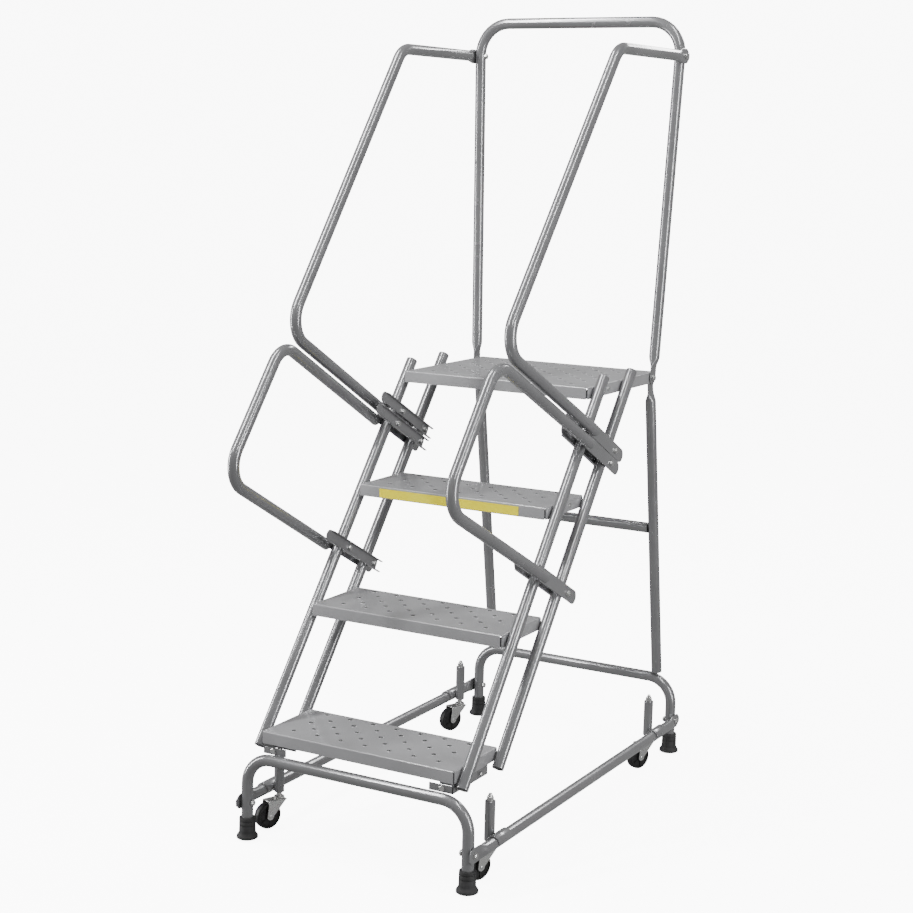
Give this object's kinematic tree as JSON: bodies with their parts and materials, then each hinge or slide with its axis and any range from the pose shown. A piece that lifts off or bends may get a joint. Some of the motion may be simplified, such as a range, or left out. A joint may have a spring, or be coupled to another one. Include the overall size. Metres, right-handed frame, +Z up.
{
  "type": "mobile ladder stand",
  "caption": "Rolling steel ladder stand with perforated treads, a railed platform, looped handrails, rubber feet and sprung swivel casters that sink under load.",
  "frame": {"origin": "centre of the bounding box's bottom, on the floor under the wheels", "axes": "+X to the climber's right, +Y from the front of the stair to its back, +Z up"},
  "size_m": [0.6446, 1.2152, 1.9039],
  "materials": {
    "enamel": "semi-gloss grey enamel",
    "tread": "satin grey enamel on pressed sheet",
    "rubber": "matt moulded rubber",
    "zinc": "bright zinc plate",
    "wheel": "hard black rubber tread on a black plastic core"
  },
  "bodies": {
    "frame": {"front_base_frame": "enamel", "rear_base_frame": "enamel", "rear_cross_brace": "enamel", "guardrail": "enamel", "step_1": "tread", "step_2": "tread", "step_3": "tread", "top_platform": "tread", "side_rail_left": "enamel", "stile_front_left": "enamel", "stile_rear_left": "enamel", "rear_leg_left": "enamel", "handrail_upper_left": "enamel", "handrail_lower_left": "enamel", "base_bracket_left": "enamel", "clamp_bar_upper_left": "enamel", "clamp_bar_middle_left": "enamel", "clamp_bar_lower_left": "enamel", "corner_bolt_left": "zinc", "handrail_bolt_left": "zinc", "rail_bolt_front_left": "zinc", "rail_bolt_rear_left": "zinc", "foot_front_left": "rubber", "foot_rear_left": "rubber", "spring_post_front_left": "enamel", "spring_post_rear_left": "enamel", "side_rail_right": "enamel", "stile_front_right": "enamel", "stile_rear_right": "enamel", "rear_leg_right": "enamel", "handrail_upper_right": "enamel", "handrail_lower_right": "enamel", "base_bracket_right": "enamel", "clamp_bar_upper_right": "enamel", "clamp_bar_middle_right": "enamel", "clamp_bar_lower_right": "enamel", "corner_bolt_right": "zinc", "handrail_bolt_right": "zinc", "rail_bolt_front_right": "zinc", "rail_bolt_rear_right": "zinc", "foot_front_right": "rubber", "foot_rear_right": "rubber", "spring_post_front_right": "enamel", "spring_post_rear_right": "enamel"},
    "stem_front_left": {"caster_stem_front_left": "zinc", "caster_spring_front_left": "zinc"},
    "fork_front_left": {"caster_fork_front_left": "zinc"},
    "wheel_front_left": {"caster_wheel_front_left": "wheel"},
    "stem_front_right": {"caster_stem_front_right": "zinc", "caster_spring_front_right": "zinc"},
    "fork_front_right": {"caster_fork_front_right": "zinc"},
    "wheel_front_right": {"caster_wheel_front_right": "wheel"},
    "stem_rear_left": {"caster_stem_rear_left": "zinc", "caster_spring_rear_left": "zinc"},
    "fork_rear_left": {"caster_fork_rear_left": "zinc"},
    "wheel_rear_left": {"caster_wheel_rear_left": "wheel"},
    "stem_rear_right": {"caster_stem_rear_right": "zinc", "caster_spring_rear_right": "zinc"},
    "fork_rear_right": {"caster_fork_rear_right": "zinc"},
    "wheel_rear_right": {"caster_wheel_rear_right": "wheel"}
  },
  "joints": [
    {"name": "spring_slide_front_left", "type": "slide", "parent": "frame", "child": "stem_front_left", "axis": [0, 0, 1], "range_m": [0, 0.005], "stiffness_N_per_m": 5000, "springref_m": -0.03, "deforming": ["caster_spring_front_left"]},
    {"name": "swivel_front_left", "type": "hinge", "parent": "stem_front_left", "child": "fork_front_left", "pos_m": [-0.2796, -0.40416, 0.0727], "axis": [0, 0, 1], "continuous": true},
    {"name": "wheel_spin_front_left", "type": "hinge", "parent": "fork_front_left", "child": "wheel_front_left", "pos_m": [-0.29159, -0.43383, 0.03175], "axis": [0.9272, -0.3746, 0], "continuous": true},
    {"name": "spring_slide_front_right", "type": "slide", "parent": "frame", "child": "stem_front_right", "axis": [0, 0, 1], "range_m": [0, 0.005], "stiffness_N_per_m": 5000, "springref_m": -0.03, "deforming": ["caster_spring_front_right"]},
    {"name": "swivel_front_right", "type": "hinge", "parent": "stem_front_right", "child": "fork_front_right", "pos_m": [0.2796, -0.40416, 0.0727], "axis": [0, 0, 1], "continuous": true},
    {"name": "wheel_spin_front_right", "type": "hinge", "parent": "fork_front_right", "child": "wheel_front_right", "pos_m": [0.26761, -0.43383, 0.03175], "axis": [0.9272, -0.3746, 0], "continuous": true},
    {"name": "spring_slide_rear_left", "type": "slide", "parent": "frame", "child": "stem_rear_left", "axis": [0, 0, 1], "range_m": [0, 0.005], "stiffness_N_per_m": 5000, "springref_m": -0.03, "deforming": ["caster_spring_rear_left"]},
    {"name": "swivel_rear_left", "type": "hinge", "parent": "stem_rear_left", "child": "fork_rear_left", "pos_m": [-0.2796, 0.45684, 0.0727], "axis": [0, 0, 1], "continuous": true},
    {"name": "wheel_spin_rear_left", "type": "hinge", "parent": "fork_rear_left", "child": "wheel_rear_left", "pos_m": [-0.29159, 0.42717, 0.03175], "axis": [0.9272, -0.3746, 0], "continuous": true},
    {"name": "spring_slide_rear_right", "type": "slide", "parent": "frame", "child": "stem_rear_right", "axis": [0, 0, 1], "range_m": [0, 0.005], "stiffness_N_per_m": 5000, "springref_m": -0.03, "deforming": ["caster_spring_rear_right"]},
    {"name": "swivel_rear_right", "type": "hinge", "parent": "stem_rear_right", "child": "fork_rear_right", "pos_m": [0.2796, 0.45684, 0.0727], "axis": [0, 0, 1], "continuous": true},
    {"name": "wheel_spin_rear_right", "type": "hinge", "parent": "fork_rear_right", "child": "wheel_rear_right", "pos_m": [0.26761, 0.42717, 0.03175], "axis": [0.9272, -0.3746, 0], "continuous": true}
  ]
}
